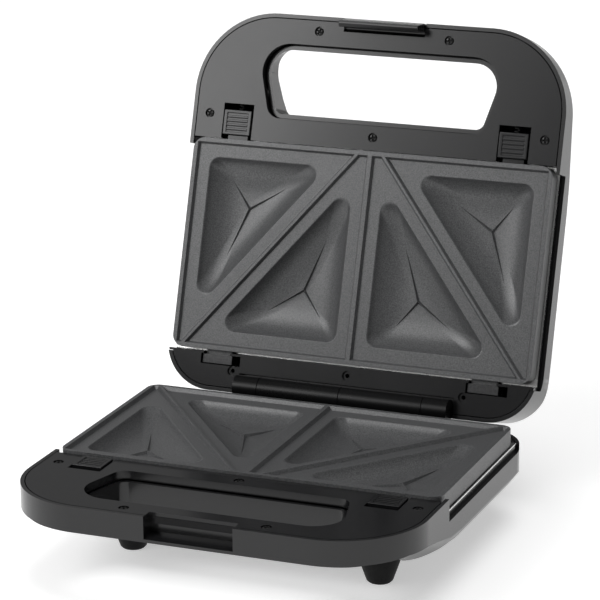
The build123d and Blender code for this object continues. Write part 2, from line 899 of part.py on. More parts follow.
def coil(side):
    """A compression spring of square wire, between its stop and the foot of a release."""
    middle = side * release_x
    start = plate_front + spring_stop + spring_wire / 2
    end = plate_front + release_front - spring_wire / 2
    winding = spring_radius - spring_wire / 2
    steps = spring_turns * spring_steps
    sections = []
    for step in range(steps + 1):
        along = Vector(1, 0, 0).rotate(Axis.Y, 360 * step / spring_steps)
        centre = Vector(middle, start + (end - start) * step / steps, rim_height - spring_drop)
        tangent = along.cross(Vector(0, 1, 0))
        with BuildSketch(Plane(centre + along * winding, x_dir=along, z_dir=tangent)) as wire:
            Rectangle(spring_wire, spring_wire)
        sections.append(wire.sketch)
    with BuildPart() as spring:
        loft(sections, ruled=True)
    return spring.part


left_release = release(-1)
left_release.label = "lower_left_release"
export_step(left_release, "parts/lower_left_release.step")
right_release = release(1)
right_release.label = "lower_right_release"
export_step(right_release, "parts/lower_right_release.step")
upper_left_release = opened(left_release)
upper_left_release.label = "upper_left_release"
export_step(upper_left_release, "parts/upper_left_release.step")
upper_right_release = opened(right_release)
upper_right_release.label = "upper_right_release"
export_step(upper_right_release, "parts/upper_right_release.step")

left_spring = coil(-1)
left_spring.label = "lower_left_release_spring"
export_step(left_spring, "parts/lower_left_release_spring.step")
right_spring = coil(1)
right_spring.label = "lower_right_release_spring"
export_step(right_spring, "parts/lower_right_release_spring.step")
upper_left_spring = opened(left_spring)
upper_left_spring.label = "upper_left_release_spring"
export_step(upper_left_spring, "parts/upper_left_release_spring.step")
upper_right_spring = opened(right_spring)
upper_right_spring.label = "upper_right_release_spring"
export_step(upper_right_spring, "parts/upper_right_release_spring.step")

# ---------------------------------------------------------------- reflector pan
def pan_form(inset):
    """The form of the pan, inset by the thickness of its sheet."""
    with BuildPart() as form:
        with BuildSketch(deck.offset(-ledge_drop + sheet)):
            with Locations((0, pan_middle)):
                RectangleRounded(
                    2 * (pan_half - inset),
                    pan_rear - pan_front - 2 * inset,
                    pan_corner - inset,
                )
        extrude(amount=-(pan_floor_drop - ledge_drop + 2 * sheet - inset))
    return form.part


with BuildPart() as pan:
    block(
        (-pan_flange_half, pan_flange_half),
        (pan_flange_front, pan_flange_rear),
        (-ledge_drop, -ledge_drop + sheet),
    )
    add(pan_form(0))
    add(pan_form(sheet), mode=Mode.SUBTRACT)
    for spot in pan_screw_spots:
        post(spot, shank_radius + screw_gap, (-deep, 0), Mode.SUBTRACT)
    for x in (-heater_end_x, heater_end_x):
        hole = heater_radius + heater_hole_gap
        post((x, heater_rear), hole, (-deep, -heater_drop), Mode.SUBTRACT)
pan.part.label = "base_reflector"
export_step(pan.part, "parts/base_reflector.step")
lid_reflector = opened(pan.part)
lid_reflector.label = "lid_reflector"
export_step(lid_reflector, "parts/lid_reflector.step")

with BuildPart() as pan_screws:
    for spot in pan_screw_spots:
        post(spot, head_radius, (-pan_floor_drop, -pan_floor_drop + head_height))
        post(spot, shank_radius, (-pan_floor_drop - shank_length, -pan_floor_drop))
pan_screws.part.label = "base_reflector_screws"
export_step(pan_screws.part, "parts/base_reflector_screws.step")
lid_pan_screws = opened(pan_screws.part)
lid_pan_screws.label = "lid_reflector_screws"
export_step(lid_pan_screws, "parts/lid_reflector_screws.step")


# ---------------------------------------------------------------- heating element
def on_deck(x, y, z):
    """A point given on the deck, in the toaster's frame."""
    return (x, plate_front + y, rim_height + z)


with BuildPart() as heater:
    with BuildLine() as route:
        FilletPolyline(
            on_deck(-heater_end_x, heater_rear, -heater_end_drop),
            on_deck(-heater_end_x, heater_rear, -heater_drop),
            on_deck(-heater_half, heater_rear, -heater_drop),
            on_deck(-heater_half, heater_front, -heater_drop),
            on_deck(heater_half, heater_front, -heater_drop),
            on_deck(heater_half, heater_rear, -heater_drop),
            on_deck(heater_end_x, heater_rear, -heater_drop),
            on_deck(heater_end_x, heater_rear, -heater_end_drop),
            radius=[heater_end_bend] + [heater_bend] * 4 + [heater_end_bend],
        )
    with BuildSketch(Plane(route.line @ 0, x_dir=(1, 0, 0), z_dir=route.line % 0)):
        RegularPolygon(heater_radius, heater_sides, rotation=180 / heater_sides)
    sweep()
    for x in (-heater_end_x, heater_end_x):
        post((x, heater_rear), pin_radius, (-heater_end_drop - pin_length, -heater_end_drop + 1))
heater.part.label = "base_heating_element"
export_step(heater.part, "parts/base_heating_element.step")
lid_heater = opened(heater.part)
lid_heater.label = "lid_heating_element"
export_step(lid_heater, "parts/lid_heating_element.step")

with BuildPart() as cradles:
    for y in (heater_front, heater_rear):
        for x in (-cradle_x, cradle_x):
            span = (x - cradle_half, x + cradle_half)
            depth = (y - cradle_reach, y + cradle_reach)
            block(span, depth, (-pan_floor_drop, -heater_drop - 0.4))
            bar(y, -heater_drop, heater_radius + seat_gap, span, Mode.SUBTRACT)
cradles.part.label = "base_element_supports"
export_step(cradles.part, "parts/base_element_supports.step")
lid_cradles = opened(cradles.part)
lid_cradles.label = "lid_element_supports"
export_step(lid_cradles, "parts/lid_element_supports.step")

# ---------------------------------------------------------------- hinge pins
for side, name in ((-1, "left"), (1, "right")):
    ends = sorted((side * pin_hinge_start, side * pin_hinge_end))
    with BuildPart() as hinge_pin:
        bar(hinge_y, -hinge_drop, pin_hinge_radius, ends)
        chamfer(hinge_pin.edges(), 0.3)
    hinge_pin.part.label = name + "_hinge_pin"
    export_step(hinge_pin.part, "parts/" + name + "_hinge_pin.step")

# ---------------------------------------------------------------- latch
pivot_y, pivot_z = latch_pivot
with BuildPart() as latch:
    width = (-latch_half, latch_half)
    rib([(pivot_y + y, pivot_z + z) for y, z in latch_profile], width)
    bar(pivot_y, pivot_z, latch_barrel, width)
    bar(pivot_y, pivot_z, latch_pin_radius + running_gap, width, Mode.SUBTRACT)
latch_lever = opened(latch.part)
latch_lever.label = "latch_lever"
export_step(latch_lever, "parts/latch_lever.step")

with BuildPart() as latch_pin:
    bar(pivot_y, pivot_z, latch_pin_radius, (-latch_pin_half, latch_pin_half))
    chamfer(latch_pin.edges(), 0.2)
latch_axle = opened(latch_pin.part)
latch_axle.label = "latch_pin"
export_step(latch_axle, "parts/latch_pin.step")

# ---------------------------------------------------------------- feet
with BuildPart() as feet:
    for x, y in foot_spots:
        with BuildSketch(Plane(on_deck(x, y, -rim_height), x_dir=(1, 0, 0), z_dir=(0, -1, 0))):
            with BuildLine():
                Polyline(
                    (0, 0),
                    (foot_tip_radius - foot_chamfer, 0),
                    (foot_tip_radius, foot_chamfer),
                    (foot_top_radius, rim_height - belly_drop),
                    (foot_top_radius, rim_height - foot_stem_top),
                    (0, rim_height - foot_stem_top),
                    close=True,
                )
            make_face()
        revolve(axis=Axis(on_deck(x, y, 0), (0, 0, 1)))
    add(outer_form, mode=Mode.SUBTRACT)
    for spot in foot_spots:
        post(spot, foot_stem_radius, (-belly_drop - 2, -foot_stem_top - 0.2))
feet.part.label = "feet"
export_step(feet.part, "parts/feet.step")

# ---------------------------------------------------------------- electrical parts
with BuildPart() as bush:
    with BuildSketch(cross_plane(rear_reach)):
        with Locations((gland_x, -gland_drop)):
            Circle(gland_flange)
    extrude(amount=-gland_flange_thickness)
    with BuildSketch(cross_plane(rear_reach)):
        with Locations((gland_x, -gland_drop)):
            Circle(gland_radius)
    extrude(amount=gland_length)
    with BuildSketch(cross_plane(rear_reach + clear)):
        with Locations((gland_x, -gland_drop)):
            Circle(gland_bore)
    extrude(amount=deep, mode=Mode.SUBTRACT)
bush.part.label = "cord_bush"
export_step(bush.part, "parts/cord_bush.step")

with BuildPart() as terminal_block:
    block(terminal_x, terminal_y, (-belly_drop - 1, -terminal_top))
    terminal_middle = (sum(terminal_x) / 2, sum(terminal_y) / 2)
    for number in (-1, 0, 1):
        x = terminal_middle[0] + number * terminal_pitch
        screw_well = (-terminal_top - 3, -terminal_top + 1)
        post((x, terminal_middle[1]), terminal_bore, screw_well, Mode.SUBTRACT)
        block(
            (x - 4.5, x + 4.5),
            (terminal_y[0] - 1, terminal_y[0] + 2),
            (-terminal_top - 9, -terminal_top - 4),
            Mode.SUBTRACT,
        )
    add(inner_form, mode=Mode.INTERSECT)
terminal_block.part.label = "terminal_block"
export_step(terminal_block.part, "parts/terminal_block.step")


def thermostat_body():
    """A disc thermostat with its two tabs, held flat under the reflector."""
    base = -pan_floor_drop - sheet
    under = base - sensor_height
    with BuildPart() as body:
        block((-sensor_bracket, sensor_bracket), (sensor_y - 8, sensor_y + 8), (base - 1, base))
        post((0, sensor_y), sensor_radius, (under, base - 1))
        both_sides((3, 6.4), (sensor_y - 0.4, sensor_y + 0.4), (under - 5.5, under + 0.5))
    return body.part


thermostat = thermostat_body()
thermostat.label = "base_thermostat"
export_step(thermostat, "parts/base_thermostat.step")
lid_thermostat = opened(thermostat)
lid_thermostat.label = "lid_thermostat"
export_step(lid_thermostat, "parts/lid_thermostat.step")

with BuildPart() as fuse:
    fuse_z = -pan_floor_drop - sheet - fuse_radius
    bar(sensor_y, fuse_z, fuse_radius, (fuse_x - 8, fuse_x + 8))
    bar(sensor_y, fuse_z, fuse_radius / 4, (fuse_x - 16, fuse_x + 16))
fuse.part.label = "thermal_fuse"
export_step(fuse.part, "parts/thermal_fuse.step")

for side, name in ((-1, "power"), (1, "ready")):
    spot = (side * light_x, light_y)
    light_top = light_length - belly_drop - 1
    with BuildPart() as light:
        post(spot, light_radius + light_flange, (-belly_drop - 1, light_top))
        add(inner_form, mode=Mode.INTERSECT)
        post(spot, light_radius, (-belly_drop - 0.8, light_top))
        chamfer(light.faces().sort_by(Axis.Z)[0].edges(), 0.8)
    lens = opened(light.part)
    lens.label = name + "_light"
    export_step(lens, "parts/" + name + "_light.step")
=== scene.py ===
# %% [markdown]
# # A sandwich toaster, dressed
# This notebook dresses a packed toaster: the solids are already in place, and here they
# get their camera, their light, their rounded edges and their finishes. Everything is in
# metres, +Z up, +Y towards the hinge, and the toaster stands open on the floor.

import json
from math import cos, hypot, radians, sin

import bpy
from mathutils import Matrix, Vector

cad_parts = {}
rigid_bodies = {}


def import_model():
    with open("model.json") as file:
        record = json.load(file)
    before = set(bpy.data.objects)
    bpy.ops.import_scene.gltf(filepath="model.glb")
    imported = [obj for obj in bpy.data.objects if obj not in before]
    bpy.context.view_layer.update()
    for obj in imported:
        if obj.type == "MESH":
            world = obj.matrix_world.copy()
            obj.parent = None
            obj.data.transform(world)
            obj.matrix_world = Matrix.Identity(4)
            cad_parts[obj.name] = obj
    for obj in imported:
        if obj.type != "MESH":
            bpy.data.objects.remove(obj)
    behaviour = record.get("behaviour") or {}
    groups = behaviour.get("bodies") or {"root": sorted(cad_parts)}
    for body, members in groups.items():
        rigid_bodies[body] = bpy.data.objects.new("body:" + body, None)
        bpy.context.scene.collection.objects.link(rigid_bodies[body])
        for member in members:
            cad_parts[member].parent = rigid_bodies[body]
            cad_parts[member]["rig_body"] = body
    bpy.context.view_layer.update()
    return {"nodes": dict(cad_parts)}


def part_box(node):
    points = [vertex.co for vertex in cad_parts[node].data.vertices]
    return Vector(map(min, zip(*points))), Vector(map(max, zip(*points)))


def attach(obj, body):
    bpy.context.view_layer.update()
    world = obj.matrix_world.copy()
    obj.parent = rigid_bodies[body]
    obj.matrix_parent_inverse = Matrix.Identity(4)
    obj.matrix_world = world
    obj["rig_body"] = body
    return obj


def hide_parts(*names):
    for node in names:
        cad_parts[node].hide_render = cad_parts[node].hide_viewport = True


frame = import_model()
nodes = frame["nodes"]

# %% [markdown]
# ## Camera
# The photograph was taken from in front, a little to the right and above, with a long
# lens. The place and the lens were worked out from the corners of the two plates, which
# are rectangles of a known size. A matrix built from the viewing direction is exact,
# where turning a camera by hand is guesswork.

# %% Place the camera
camera_place = (0.6016, -1.4986, 0.6082)
azimuth, elevation, roll = radians(21.82), radians(16.39), radians(-0.418)
sensor_width = 36.0
focal_length = 180.7
forward = Vector((-sin(azimuth) * cos(elevation), cos(azimuth) * cos(elevation), -sin(elevation)))
right = forward.cross(Vector((0, 0, 1))).normalized()
up = right.cross(forward)
camera_x = right * cos(roll) + up * sin(roll)
camera_y = -right * sin(roll) + up * cos(roll)
turn = Matrix((camera_x, camera_y, -forward)).transposed()

bpy.ops.object.camera_add()
camera = bpy.context.object
camera.name = "photo_camera"
camera.matrix_world = Matrix.Translation(camera_place) @ turn.to_4x4()
camera.data.sensor_width = sensor_width
camera.data.lens = focal_length
camera.data.clip_end = 50.0
bpy.context.scene.camera = camera
print("camera at", [round(v, 3) for v in camera.matrix_world.translation])

# %% [markdown]
# ## Floor, world and lamps
# A product photographer would put the toaster on a white sweep in a bright tent. The
# floor here is matte and pale; for the eye and for reflections it also glows a little,
# so it reads as white while it keeps the soft shadow. Two soft suns light every place
# of the floor alike, but don't show in reflections. Two softboxes in front on the left, a
# small one before a large one, give the black plastic its slow fade from light to dark.

# %% White floor
paper_white = 0.82
floor_glow = 0.46
bpy.ops.mesh.primitive_plane_add(size=24, location=(0, 4, 0))
floor = bpy.context.object
floor.name = "floor"
bpy.ops.object.transform_apply(location=True)

floor_finish = bpy.data.materials.new("white_sweep")
floor_finish.use_nodes = True
tree = floor_finish.node_tree
tree.nodes.clear()
paper = tree.nodes.new("ShaderNodeBsdfDiffuse")
paper.inputs["Color"].default_value = (paper_white, paper_white, paper_white, 1)
glow = tree.nodes.new("ShaderNodeEmission")
glow.inputs["Color"].default_value = (1, 1, 1, 1)
rays = tree.nodes.new("ShaderNodeLightPath")
camera_or_mirror = tree.nodes.new("ShaderNodeMath")
camera_or_mirror.operation = "MAXIMUM"
tree.links.new(rays.outputs["Is Camera Ray"], camera_or_mirror.inputs[0])
tree.links.new(rays.outputs["Is Glossy Ray"], camera_or_mirror.inputs[1])
any_sight = tree.nodes.new("ShaderNodeMath")
any_sight.operation = "MAXIMUM"
tree.links.new(camera_or_mirror.outputs[0], any_sight.inputs[0])
tree.links.new(rays.outputs["Is Transmission Ray"], any_sight.inputs[1])
strength = tree.nodes.new("ShaderNodeMath")
strength.operation = "MULTIPLY"
strength.inputs[1].default_value = floor_glow
tree.links.new(any_sight.outputs[0], strength.inputs[0])
tree.links.new(strength.outputs[0], glow.inputs["Strength"])
both = tree.nodes.new("ShaderNodeAddShader")
tree.links.new(paper.outputs[0], both.inputs[0])
tree.links.new(glow.outputs[0], both.inputs[1])
out = tree.nodes.new("ShaderNodeOutputMaterial")
tree.links.new(both.outputs[0], out.inputs["Surface"])
floor.data.materials.append(floor_finish)

# %% World
tent_light = 0.26
tent_seen = 1.0
world = bpy.data.worlds.new("tent")
bpy.context.scene.world = world
world.use_nodes = True
tree = world.node_tree
tree.nodes.clear()
tent = tree.nodes.new("ShaderNodeBackground")
tent.inputs["Color"].default_value = (1, 1, 1, 1)
rays = tree.nodes.new("ShaderNodeLightPath")
sight = tree.nodes.new("ShaderNodeMath")
sight.operation = "MAXIMUM"
tree.links.new(rays.outputs["Is Camera Ray"], sight.inputs[0])
tree.links.new(rays.outputs["Is Transmission Ray"], sight.inputs[1])
level = tree.nodes.new("ShaderNodeMapRange")
level.inputs["To Min"].default_value = tent_light
level.inputs["To Max"].default_value = tent_seen
tree.links.new(sight.outputs[0], level.inputs["Value"])
tree.links.new(level.outputs[0], tent.inputs["Strength"])
out = tree.nodes.new("ShaderNodeOutputWorld")
tree.links.new(tent.outputs[0], out.inputs["Surface"])
bpy.context.scene.view_settings.view_transform = "Standard"


# %% Lamps
def soft_sun(name, direction, strength, angle):
    """A sun that shines along a direction, with a soft edge."""
    bpy.ops.object.light_add(type="SUN", location=(0, 0, 2))
    lamp = bpy.context.object
    lamp.name = name
    lamp.data.energy = strength
    lamp.data.angle = radians(angle)
    lamp.rotation_mode = "QUATERNION"
    lamp.rotation_quaternion = Vector(direction).to_track_quat("-Z", "Y")
    return lamp


def softbox(name, place, target, size, power):
    """A square lamp that faces a target."""
    bpy.ops.object.light_add(type="AREA", location=place)
    lamp = bpy.context.object
    lamp.name = name
    lamp.data.shape = "SQUARE"
    lamp.data.size = size
    lamp.data.energy = power
    lamp.rotation_mode = "QUATERNION"
    aim = Vector(target) - Vector(place)
    lamp.rotation_quaternion = aim.to_track_quat("-Z", "Y")
    return lamp


boxes_aim = (0, 0.1, 0.15)
top_lamp = soft_sun("top_lamp", (-0.15, -0.05, -1.0), 1.2, 40)
side_lamp = soft_sun("side_lamp", (0.5, 0.7, -0.55), 0.45, 45)
for lamp in (top_lamp, side_lamp):
    lamp.visible_glossy = False
inner_box = softbox("inner_box", (-0.92, -1.1, 0.98), boxes_aim, 0.75, 8.0)
outer_box = softbox("outer_box", (-0.9, -1.15, 1.3), boxes_aim, 1.3, 9.0)
print("lamps", top_lamp.name, side_lamp.name, inner_box.name, outer_box.name)

# %% [markdown]
# ## Shared effects
# Moulded plastic, cast aluminium and sheet metal all show two faint things up close: a
# texture in the surface, and patches that are a little duller or shinier. Each is a node
# group with named sockets, built once and placed in every finish with its own numbers.


# %% Patches group
def effect(name, inputs, outputs):
    """A node group with named inputs and outputs, and its input and output nodes."""
    group = bpy.data.node_groups.new(name, "ShaderNodeTree")
    for label, kind, value in inputs:
        socket = group.interface.new_socket(label, in_out="INPUT", socket_type=kind)
        if value is not None:
            socket.default_value = value
    for label, kind in outputs:
        group.interface.new_socket(label, in_out="OUTPUT", socket_type=kind)
    return group, group.nodes.new("NodeGroupInput"), group.nodes.new("NodeGroupOutput")


patches, given, result = effect(
    "dull_patches",
    [
        ("Vector", "NodeSocketVector", None),
        ("Scale", "NodeSocketFloat", 20.0),
        ("Low", "NodeSocketFloat", 0.3),
        ("High", "NodeSocketFloat", 0.4),
    ],
    [("Value", "NodeSocketFloat")],
)
cloud = patches.nodes.new("ShaderNodeTexNoise")
cloud.inputs["Detail"].default_value = 4.0
spread = patches.nodes.new("ShaderNodeMapRange")
spread.inputs["From Min"].default_value = 0.3
spread.inputs["From Max"].default_value = 0.7
patches.links.new(given.outputs["Vector"], cloud.inputs["Vector"])
patches.links.new(given.outputs["Scale"], cloud.inputs["Scale"])
patches.links.new(cloud.outputs["Fac"], spread.inputs["Value"])
patches.links.new(given.outputs["Low"], spread.inputs["To Min"])
patches.links.new(given.outputs["High"], spread.inputs["To Max"])
patches.links.new(spread.outputs["Result"], result.inputs["Value"])

# %% Fine texture group
texture, given, result = effect(
    "fine_texture",
    [
        ("Vector", "NodeSocketVector", None),
        ("Scale", "NodeSocketFloat", 900.0),
        ("Depth", "NodeSocketFloat", 0.1),
    ],
    [("Normal", "NodeSocketVector"), ("Mask", "NodeSocketFloat")],
)
grain = texture.nodes.new("ShaderNodeTexNoise")
grain.inputs["Detail"].default_value = 3.0
relief = texture.nodes.new("ShaderNodeBump")
relief.inputs["Distance"].default_value = 0.0003
texture.links.new(given.outputs["Vector"], grain.inputs["Vector"])
texture.links.new(given.outputs["Scale"], grain.inputs["Scale"])
texture.links.new(grain.outputs["Fac"], relief.inputs["Height"])
texture.links.new(given.outputs["Depth"], relief.inputs["Strength"])
texture.links.new(relief.outputs["Normal"], result.inputs["Normal"])
texture.links.new(grain.outputs["Fac"], result.inputs["Mask"])


# %% [markdown]
# ## Finishes
# A finish here is a Principled shader with its constants set on the shader itself, and
# the two shared effects wired to roughness and normal. Where a finish has two tones,
# the grain mask mixes them.


# %% Finish helper
def finish(
    name, tones, metallic=0.0, rough=(0.3, 0.4), patch=18.0, grain=900.0, depth=0.08, gloss=0.5
):
    """A material with two close tones, patchy roughness and a fine relief."""
    material = bpy.data.materials.new(name)
    material.use_nodes = True
    tree = material.node_tree
    shader = tree.nodes["Principled BSDF"]
    shader.inputs["Metallic"].default_value = metallic
    shader.inputs["Specular IOR Level"].default_value = gloss
    place = tree.nodes.new("ShaderNodeTexCoord")
    dull = tree.nodes.new("ShaderNodeGroup")
    dull.node_tree = patches
    dull.inputs["Scale"].default_value = patch
    dull.inputs["Low"].default_value, dull.inputs["High"].default_value = rough
    fine = tree.nodes.new("ShaderNodeGroup")
    fine.node_tree = texture
    fine.inputs["Scale"].default_value = grain
    fine.inputs["Depth"].default_value = depth
    ramp = tree.nodes.new("ShaderNodeValToRGB")
    ramp.color_ramp.elements[0].position = 0.35
    ramp.color_ramp.elements[0].color = (*tones[0], 1)
    ramp.color_ramp.elements[1].position = 0.65
    ramp.color_ramp.elements[1].color = (*tones[1], 1)
    tree.links.new(place.outputs["Object"], dull.inputs["Vector"])
    tree.links.new(place.outputs["Object"], fine.inputs["Vector"])
    tree.links.new(fine.outputs["Mask"], ramp.inputs["Fac"])
    tree.links.new(ramp.outputs["Color"], shader.inputs["Base Color"])
    tree.links.new(dull.outputs["Value"], shader.inputs["Roughness"])
    tree.links.new(fine.outputs["Normal"], shader.inputs["Normal"])
    return material


# %% The toaster's finishes
housing_black = finish(
    "housing_black",
    [(0.006, 0.006, 0.0065), (0.009, 0.009, 0.0095)],
    rough=(0.17, 0.21),
    depth=0.02,
    gloss=0.45,
)
fascia_black = finish(
    "fascia_black",
    [(0.005, 0.005, 0.0055), (0.008, 0.008, 0.0085)],
    rough=(0.17, 0.21),
    depth=0.02,
    gloss=0.36,
)
# a darker, less glossy copy of the housing finish: painted shade on the hinge barrels
hinge_shade_black = finish(
    "hinge_shade_black",
    [(0.004, 0.004, 0.0042), (0.006, 0.006, 0.0062)],
    rough=(0.24, 0.3),
    depth=0.02,
    gloss=0.16,
)
plate_coat = finish(
    "plate_coat",
    [(0.045, 0.046, 0.0475), (0.1, 0.101, 0.103)],
    metallic=0.1,
    rough=(0.34, 0.4),
    grain=1500.0,
    depth=0.14,
    gloss=0.55,
)
bright_sheet = finish(
    "bright_sheet",
    [(0.72, 0.72, 0.71), (0.85, 0.85, 0.84)],
    metallic=1.0,
    rough=(0.2, 0.32),
    depth=0.03,
)
plain_steel = finish(
    "plain_steel", [(0.45, 0.45, 0.44), (0.6, 0.6, 0.59)], metallic=1.0, rough=(0.3, 0.42)
)
element_sheath = finish(
    "element_sheath", [(0.2, 0.19, 0.18), (0.33, 0.31, 0.29)], metallic=0.9, rough=(0.45, 0.6)
)
black_screw = finish(
    "black_screw", [(0.02, 0.02, 0.02), (0.035, 0.035, 0.035)], metallic=0.4, rough=(0.25, 0.32)
)
# near-black and matte: painted shade for the inside of the screws' crosses
cross_shade_black = finish(
    "cross_shade_black", [(0.004, 0.004, 0.004), (0.008, 0.008, 0.008)], rough=(0.6, 0.7), gloss=0.2
)
dark_spring = finish(
    "dark_spring", [(0.02, 0.02, 0.02), (0.04, 0.04, 0.04)], metallic=0.8, rough=(0.35, 0.45)
)
dark_clip = finish(
    "dark_clip", [(0.03, 0.03, 0.031), (0.05, 0.05, 0.051)], metallic=0.6, rough=(0.3, 0.4)
)
foot_rubber = finish(
    "foot_rubber",
    [(0.006, 0.006, 0.006), (0.01, 0.01, 0.01)],
    rough=(0.5, 0.62),
    depth=0.15,
    gloss=0.2,
)
terminal_white = finish("terminal_white", [(0.72, 0.71, 0.66), (0.8, 0.79, 0.75)])
lens_red = finish("lens_red", [(0.45, 0.012, 0.01), (0.6, 0.02, 0.015)], rough=(0.08, 0.14))
lens_green = finish("lens_green", [(0.01, 0.3, 0.04), (0.02, 0.42, 0.06)], rough=(0.08, 0.14))

finish_of = {}
for name in nodes:
    if name.endswith("shell"):
        finish_of[name] = housing_black
    elif name.endswith("bezel") or name.endswith("release") or name == "latch_lever":
        finish_of[name] = fascia_black
    elif name.endswith("_plate"):
        finish_of[name] = plate_coat
    elif name.endswith("reflector"):
        finish_of[name] = bright_sheet
    elif name.endswith("heating_element"):
        finish_of[name] = element_sheath
    elif name.endswith("bezel_screws"):
        finish_of[name] = black_screw
    elif name.endswith("plate_clips"):
        finish_of[name] = dark_clip
    elif name.endswith("spring"):
        finish_of[name] = dark_spring
    elif name in ("feet", "cord_bush"):
        finish_of[name] = foot_rubber
    elif name == "terminal_block":
        finish_of[name] = terminal_white
    elif name == "power_light":
        finish_of[name] = lens_red
    elif name == "ready_light":
        finish_of[name] = lens_green
    else:
        finish_of[name] = plain_steel
for name, material in finish_of.items():
    mesh = nodes[name].data
    mesh.materials.clear()
    mesh.materials.append(material)
print("finishes on", len(finish_of), "nodes")


# %% [markdown]
# ## Rounded skins
# A solid from a CAD program has knife edges, and its round walls are many flat strips.
# Real mouldings and castings have a small radius on every edge, which catches the light.
# A copy of a solid, with its loose triangles merged, flat areas joined and a small bevel
# on the sharp edges, gives just that, and the copy stands for the solid. Smooth shading
# alone would let the roundness leak into the flat faces beside it, so the normals are
# weighted by the size of the faces.


# %% Skin helpers
MM = 0.001
same_place = 1e-6


def pick(piece):
    """Makes one piece the only selected one, and the active one."""
    bpy.ops.object.select_all(action="DESELECT")
    bpy.context.view_layer.objects.active = piece
    piece.select_set(True)


def select_faces(piece, wanted):
    """Selects the faces that pass a test, and stays in edit mode."""
    pick(piece)
    bpy.ops.object.mode_set(mode="EDIT")
    bpy.ops.mesh.select_mode(type="FACE")
    bpy.ops.mesh.select_all(action="DESELECT")
    bpy.ops.object.mode_set(mode="OBJECT")
    for polygon in piece.data.polygons:
        polygon.select = wanted(polygon)
    bpy.ops.object.mode_set(mode="EDIT")


def select_points(piece, wanted):
    """Selects the points that pass a test, and stays in edit mode."""
    pick(piece)
    bpy.ops.object.mode_set(mode="EDIT")
    bpy.ops.mesh.select_mode(type="VERT")
    bpy.ops.mesh.select_all(action="DESELECT")
    bpy.ops.object.mode_set(mode="OBJECT")
    for vertex in piece.data.vertices:
        vertex.select = wanted(vertex)
    bpy.ops.object.mode_set(mode="EDIT")


def weld(piece, flat_angle=None):
    """Merges the points of a piece that coincide and, on request, joins its flat faces."""
    pick(piece)
    bpy.ops.object.mode_set(mode="EDIT")
    bpy.ops.mesh.select_all(action="SELECT")
    bpy.ops.mesh.remove_doubles(threshold=same_place)
    if flat_angle:
        bpy.ops.mesh.dissolve_limited(angle_limit=flat_angle)
    bpy.ops.mesh.select_all(action="DESELECT")
    bpy.ops.object.mode_set(mode="OBJECT")


def take(node, name):
    """A merged copy of a solid's mesh."""
    piece = bpy.data.objects.new(name, nodes[node].data.copy())
    bpy.context.scene.collection.objects.link(piece)
    weld(piece, radians(1.0))
    return piece


def join(pieces, into):
    """Makes some pieces part of another one."""
    bpy.ops.object.select_all(action="DESELECT")
    for piece in pieces:
        piece.select_set(True)
    into.select_set(True)
    bpy.context.view_layer.objects.active = into
    bpy.ops.object.join()


def round_off(piece, radius, sharp=32, segments=2):
    """Rounds the sharp edges of a piece and shades the rest smooth."""
    pick(piece)
    if radius:
        bevel = piece.modifiers.new("edge radius", "BEVEL")
        bevel.width = radius
        bevel.segments = segments
        bevel.limit_method = "ANGLE"
        bevel.angle_limit = radians(sharp)
        bevel.use_clamp_overlap = True
        bpy.ops.object.modifier_apply(modifier=bevel.name)
    bpy.ops.object.shade_smooth_by_angle(angle=radians(sharp))
    even = piece.modifiers.new("even shading", "WEIGHTED_NORMAL")
    even.keep_sharp = True
    bpy.ops.object.modifier_apply(modifier=even.name)


def stand_for(piece, node):
    """Puts a piece in a solid's place and on its body."""
    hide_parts(node)
    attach(piece, nodes[node]["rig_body"])
    print(piece.name, len(piece.data.polygons), "faces for", node)


def skin(node, name, radius, shape=None):
    """A copy of a solid, shaped where it needs it and rounded, which replaces it."""
    piece = take(node, name)
    if shape:
        shape(piece, to_lid if nodes[node]["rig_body"] == "lid" else Matrix())
    round_off(piece, radius * MM)
    stand_for(piece, node)


# %% The plate's frame, and the way from the base to the lid
plate_low, plate_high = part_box("lower_plate")
rim_level = plate_high[2]
front_edge = plate_low[1]
hinge = Vector((0, 0.0679, 0.05425))
opening_angle = radians(108.3)
parting = rim_level + 0.2 * MM
turn_over = Matrix.Translation((0, 0, 2 * parting)) @ Matrix.Diagonal((1, 1, -1, 1))
open_up = Matrix.Rotation(-opening_angle, 4, "X")
to_lid = Matrix.Translation(hinge) @ open_up @ Matrix.Translation(-hinge) @ turn_over
to_plate = Matrix.Diagonal((1 / MM, 1 / MM, 1 / MM, 1)) @ Matrix.Translation(
    (0, -front_edge, -rim_level)
)


# %% [markdown]
# The housings' undersides are drawn in a little more at the sides on the real toaster, the
# tube of the handle opening widens towards its far end, and the fascias end lower and
# further in beside the plates, so that the bright edge of the reflector and a black gap
# show there. Points are moved by soft steps, in millimetres from the front edge and the
# rim of the plate, for the base and the lid alike. The hinge barrels get a darker, less
# glossy copy of the housings' finish, which paints shade on them.


# %% Shapes of the housings and the fascias
def soft_step(value, low, high):
    """A smooth step from 0 at low to 1 at high."""
    share = min(1.0, max(0.0, (value - low) / (high - low)))
    return share * share * (3 - 2 * share)


# along the underside: place from the plate's front edge, and depth of the side wall
wall_depths = ((-92, 11.6), (-68, 12.6), (-48, 14.8), (-28, 19.4), (-9, 23.4), (8, 25.8), (26, 28))


def wall_depth(y):
    """The depth of the housing's side wall at a place along it."""
    for (y0, depth0), (y1, depth1) in zip(wall_depths, wall_depths[1:]):
        if y <= y1:
            return depth0 + (depth1 - depth0) * (y - y0) / (y1 - y0)
    return wall_depths[-1][1]


# lower side corners: their lift, its share at the front, and where it sets in
corner_lift, front_share = 5.0, 0.25
lift_front, lift_rear = -60, -8
lift_inner, lift_outer = 84, 112
lift_top, lift_bottom = 0.52, 0.95
# handle tube: its box below the fascia, with the slope of its ends, and its widening
tube_top, tube_front, tube_rear = -8, -57.4, -17.6
tube_half, tube_slope, tube_half_at = 76.8, 0.273, -60
tube_middle, tube_blend = -37.5, 10
tube_forward, tube_outward = 2.7, 0.7
tube_straight, tube_end = 50, 62
